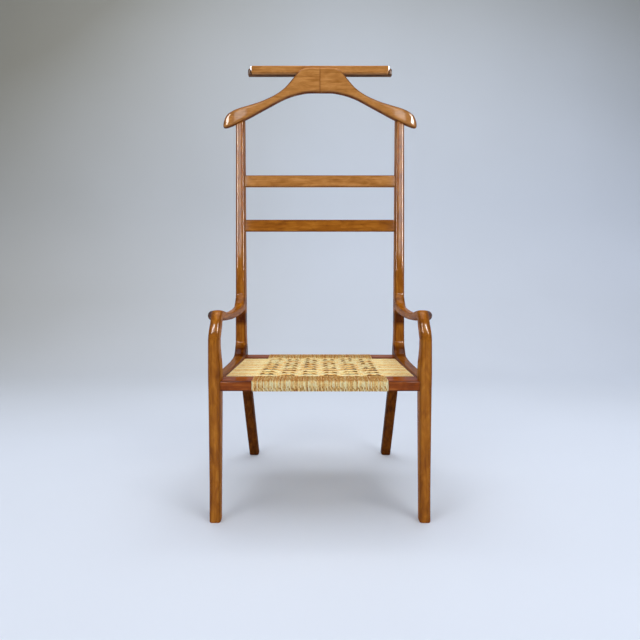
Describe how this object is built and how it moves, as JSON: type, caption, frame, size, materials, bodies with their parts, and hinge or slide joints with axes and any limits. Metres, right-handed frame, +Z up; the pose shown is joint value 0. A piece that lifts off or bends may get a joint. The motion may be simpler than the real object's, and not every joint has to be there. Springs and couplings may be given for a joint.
{
  "type": "clothes valet chair",
  "caption": "Low wooden chair with a woven paper-cord seat, arms, and a tall slatted back that carries a coat hanger and a sprung trouser press.",
  "frame": {"origin": "centre of the footprint's box, on the floor", "axes": "+Z up, -Y towards the front of the chair, +X to the right seen from the front"},
  "size_m": [0.656, 0.536, 1.3515],
  "materials": {
    "varnished_wood": "clear gloss varnish",
    "dark_wood": "clear gloss varnish",
    "dowel_wood": "bare",
    "paper_cord": "twisted, matt",
    "felt": "matt felt",
    "steel": "bright"
  },
  "bodies": {
    "frame": {"front_leg_left": "varnished_wood", "front_leg_right": "varnished_wood", "arm_left": "varnished_wood", "arm_right": "varnished_wood", "back_post_left": "varnished_wood", "back_post_right": "varnished_wood", "rear_leg_left": "dark_wood", "rear_leg_right": "dark_wood", "side_rail_left": "varnished_wood", "side_rail_right": "varnished_wood", "front_rail": "varnished_wood", "rear_rail": "varnished_wood", "upper_slat": "varnished_wood", "lower_slat": "varnished_wood", "hanger_left": "varnished_wood", "hanger_right": "varnished_wood", "centre_block": "varnished_wood", "press_front_jaw": "varnished_wood", "press_front_lining": "felt", "press_hinge_plates": "steel", "press_plate_screws": "steel", "press_pivot_pins": "steel", "press_springs": "steel", "front_rail_winding": "paper_cord", "rear_rail_winding": "paper_cord", "seat_warp": "paper_cord", "seat_weft": "paper_cord", "cord_nails": "steel", "arm_front_dowels": "dowel_wood", "arm_rear_dowels": "dowel_wood", "side_rail_dowels": "dowel_wood", "front_rail_dowels": "dowel_wood", "rear_rail_dowels": "dowel_wood", "rear_leg_dowels": "dowel_wood", "slat_dowels": "dowel_wood", "hanger_joint_dowels": "dowel_wood", "jaw_dowels": "dowel_wood", "block_screws": "steel", "hanger_screws": "steel"},
    "rear_jaw": {"press_rear_jaw": "varnished_wood", "press_rear_lining": "felt"}
  },
  "joints": [
    {"name": "press_hinge", "type": "hinge", "parent": "frame", "child": "rear_jaw", "pos_m": [0, 0.2168, 1.3435], "axis": [1, 0, 0], "range_deg": [0, 25], "stiffness_Nm_per_rad": 0.5, "springref_deg": -17.19}
  ]
}
